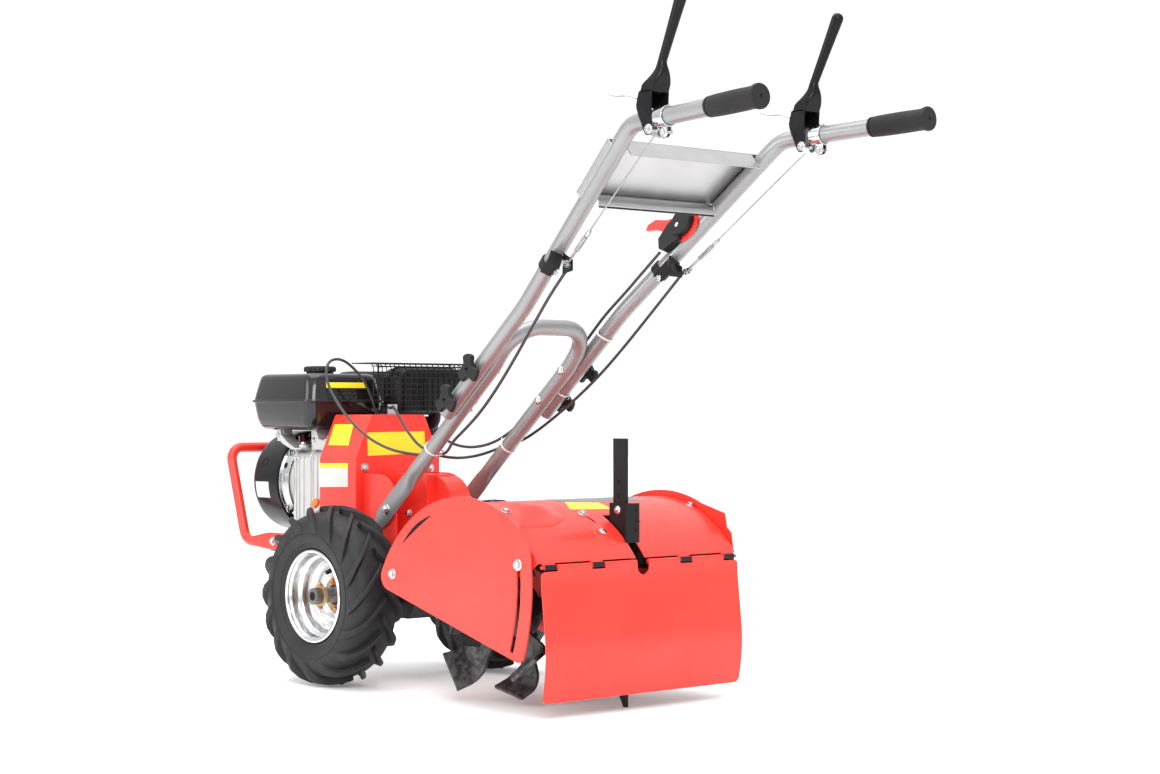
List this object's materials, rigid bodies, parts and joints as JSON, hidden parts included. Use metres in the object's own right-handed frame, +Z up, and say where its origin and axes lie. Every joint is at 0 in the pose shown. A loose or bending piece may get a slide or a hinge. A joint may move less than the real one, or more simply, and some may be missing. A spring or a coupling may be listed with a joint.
{
  "type": "garden tiller",
  "caption": "Walk-behind petrol garden tiller with a front engine, powered lugged wheels, hooded rear tines, a depth stake and tall clutch levers on a folding handlebar.",
  "frame": {"origin": "centre of the bounding box on the floor, with the wheels and the depth stake's tip at Z = 0", "axes": "+Z up; the machine drives towards -Y; its left side is +X, and the handlebar's grips are at +Y"},
  "size_m": [0.508, 1.6007, 1.1964],
  "materials": {
    "red_paint": "gloss",
    "black_paint": "satin",
    "galvanised": "satin",
    "zinc_plate": "bright",
    "cast_alloy": "matte",
    "tank_black": "gloss",
    "black_plastic": "matte",
    "rubber_grip": "matte",
    "tyre_rubber": "matte",
    "tine_steel": "satin",
    "cable_sheath": "gloss",
    "red_plastic": "gloss"
  },
  "bodies": {
    "chassis": {"air_cleaner": "black_plastic", "axle": "zinc_plate", "belt_cover": "red_paint", "cable_bracket_left": "black_paint", "cable_bracket_right": "black_paint", "cable_stop": "red_paint", "carburettor": "cast_alloy", "clutch_cable_left": "cable_sheath", "clutch_cable_right": "cable_sheath", "clutch_lever_left": "black_paint", "clutch_lever_right": "black_paint", "cooling_shroud": "cast_alloy", "crankcase": "cast_alloy", "cylinder_head": "cast_alloy", "drive_case": "red_paint", "engine_base": "black_paint", "front_bumper": "red_paint", "fuel_tank": "tank_black", "gear_case": "red_paint", "grip_left": "rubber_grip", "grip_right": "rubber_grip", "handle_plate_left": "red_paint", "handle_plate_right": "red_paint", "handle_tray": "galvanised", "hood": "red_paint", "left_lower_knob": "black_plastic", "left_upper_knob": "black_plastic", "lever_clamp_left": "galvanised", "lever_clamp_right": "galvanised", "lower_handlebar": "galvanised", "muffler": "black_paint", "muffler_guard": "black_paint", "recoil_housing": "black_paint", "right_lower_knob": "black_plastic", "right_upper_knob": "black_plastic", "stake_bracket": "black_paint", "tank_bracket_front": "cast_alloy", "tank_bracket_rear": "cast_alloy", "tank_cap": "tank_black", "throttle_body": "black_plastic", "throttle_cable": "cable_sheath", "throttle_lever": "red_plastic", "upper_handlebar_left": "galvanised", "upper_handlebar_right": "galvanised"},
    "left_wheel": {"left_tyre": "tyre_rubber", "left_rim": "zinc_plate", "left_hub": "zinc_plate"},
    "right_wheel": {"right_tyre": "tyre_rubber", "right_rim": "zinc_plate", "right_hub": "zinc_plate"},
    "tine_rotor": {"rotor_shaft": "tine_steel", "left_inner_tines": "tine_steel", "left_outer_tines": "tine_steel", "right_inner_tines": "tine_steel", "right_outer_tines": "tine_steel"},
    "flap": {"rear_flap": "red_paint"},
    "stake": {"depth_stake": "black_paint"},
    "left_shield": {"left_side_shield": "red_paint"},
    "right_shield": {"right_side_shield": "red_paint"}
  },
  "joints": [
    {"name": "left_wheel_spin", "type": "hinge", "parent": "chassis", "child": "left_wheel", "pos_m": [0.197, -0.3165, 0.17], "axis": [1, 0, 0], "continuous": true},
    {"name": "right_wheel_spin", "type": "hinge", "parent": "chassis", "child": "right_wheel", "pos_m": [-0.197, -0.3165, 0.17], "axis": [1, 0, 0], "continuous": true},
    {"name": "rotor_spin", "type": "hinge", "parent": "chassis", "child": "tine_rotor", "pos_m": [0, 0.1155, 0.164], "axis": [1, 0, 0], "continuous": true},
    {"name": "flap_hinge", "type": "hinge", "parent": "chassis", "child": "flap", "pos_m": [0, 0.32531, 0.25638], "axis": [1, 0, 0], "range_deg": [0, 90]},
    {"name": "stake_slide", "type": "slide", "parent": "chassis", "child": "stake", "axis": [0, 0, 1], "range_m": [-0.048, 0.096]},
    {"name": "left_shield_swing", "type": "hinge", "parent": "chassis", "child": "left_shield", "pos_m": [0.24225, -0.0665, 0.226], "axis": [1, 0, 0], "range_deg": [0, 24]},
    {"name": "right_shield_swing", "type": "hinge", "parent": "chassis", "child": "right_shield", "pos_m": [-0.24225, -0.0665, 0.226], "axis": [1, 0, 0], "range_deg": [0, 24]}
  ]
}
